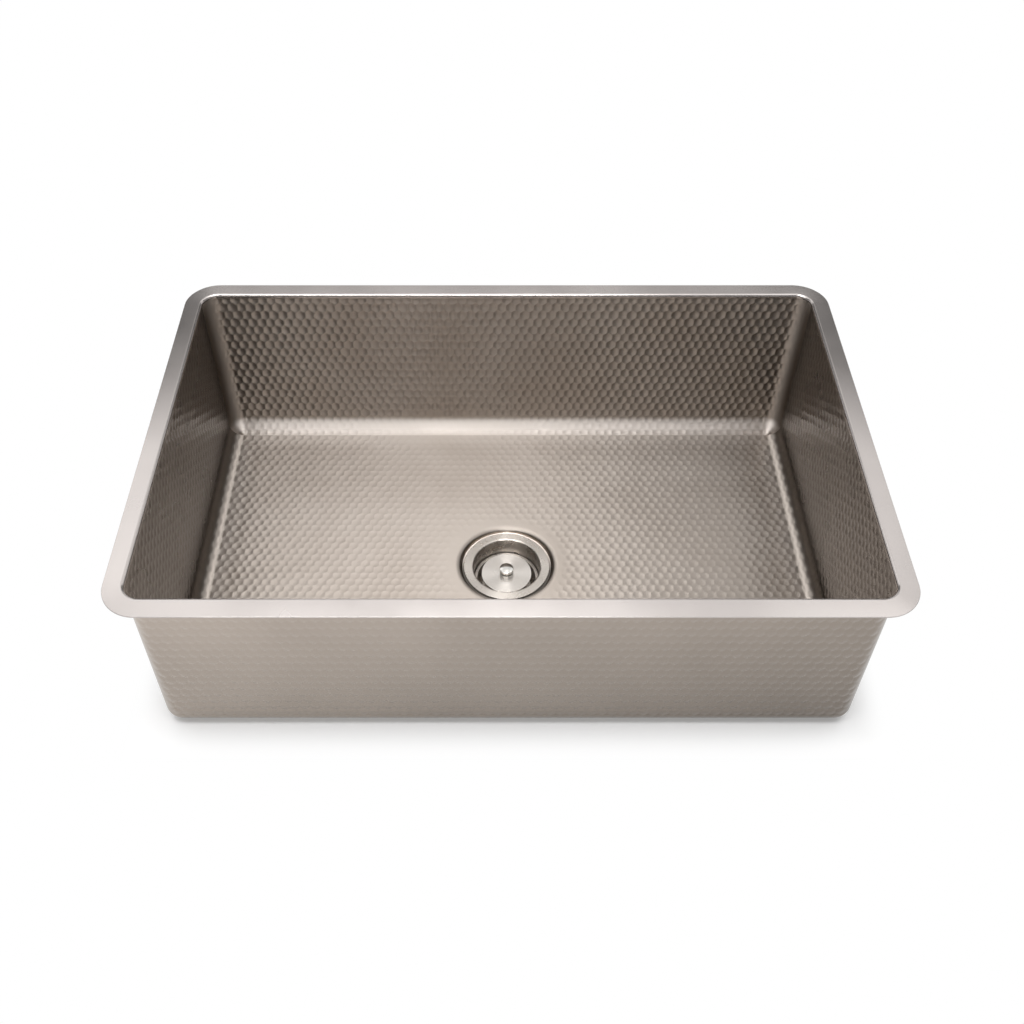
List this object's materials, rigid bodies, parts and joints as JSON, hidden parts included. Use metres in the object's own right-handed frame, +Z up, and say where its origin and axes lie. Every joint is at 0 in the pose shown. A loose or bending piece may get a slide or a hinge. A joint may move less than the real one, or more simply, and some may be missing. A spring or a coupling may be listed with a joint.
{
  "type": "kitchen sink",
  "caption": "Rectangular single-bowl undermount kitchen sink of hammered stainless steel with a flat brushed rim and a lift-out basket strainer in the central drain.",
  "frame": {"origin": "centre of the flat top face of the rim, the face that seals under the worktop", "axes": "+X to the right along the sink's length, +Y to the back, +Z up out of the bowl"},
  "size_m": [0.813, 0.534, 0.3048],
  "materials": {
    "bowl_steel": "hammered walls and floor, brushed rim, warm satin",
    "strainer_steel": "turned and lightly brushed",
    "disc_steel": "brushed in circles",
    "knob_steel": "polished steel",
    "spigot_brass": "plain machined brass",
    "coupling_chrome": "bright plated",
    "nut_zinc": "die-cast zinc, dull",
    "black_rubber": "moulded black rubber",
    "soft_seal": "soft dark sealing foam",
    "sound_pad": "matt bitumen rubber with a fine grain",
    "fibre_ring": "pressed brown fibre",
    "white_washer": "white polyethylene"
  },
  "bodies": {
    "sink": {"sink_bowl": "bowl_steel", "sound_pad_front_left": "sound_pad", "sound_pad_front_right": "sound_pad", "sound_pad_back_left": "sound_pad", "sound_pad_back_right": "sound_pad", "flange_seal": "soft_seal", "strainer_body": "strainer_steel", "outlet_spigot": "spigot_brass", "body_gasket": "black_rubber", "friction_ring": "fibre_ring", "lock_nut": "nut_zinc", "outlet_washer": "white_washer", "coupling_nut": "coupling_chrome"},
    "stopper": {"stopper_seal": "black_rubber"},
    "basket": {"basket_stem": "strainer_steel", "stem_clip": "strainer_steel", "seal_washer": "strainer_steel", "basket_cup": "strainer_steel", "spacer_sleeve": "strainer_steel", "cover_disc": "disc_steel", "pull_knob": "knob_steel"}
  },
  "joints": [
    {"name": "basket_lift", "type": "slide", "parent": "sink", "child": "stopper", "axis": [0, 0, 1], "range_m": [0, 0.065]},
    {"name": "basket_turn", "type": "hinge", "parent": "stopper", "child": "basket", "pos_m": [0, -0.008, -0.2321], "axis": [0, 0, 1], "continuous": true}
  ]
}
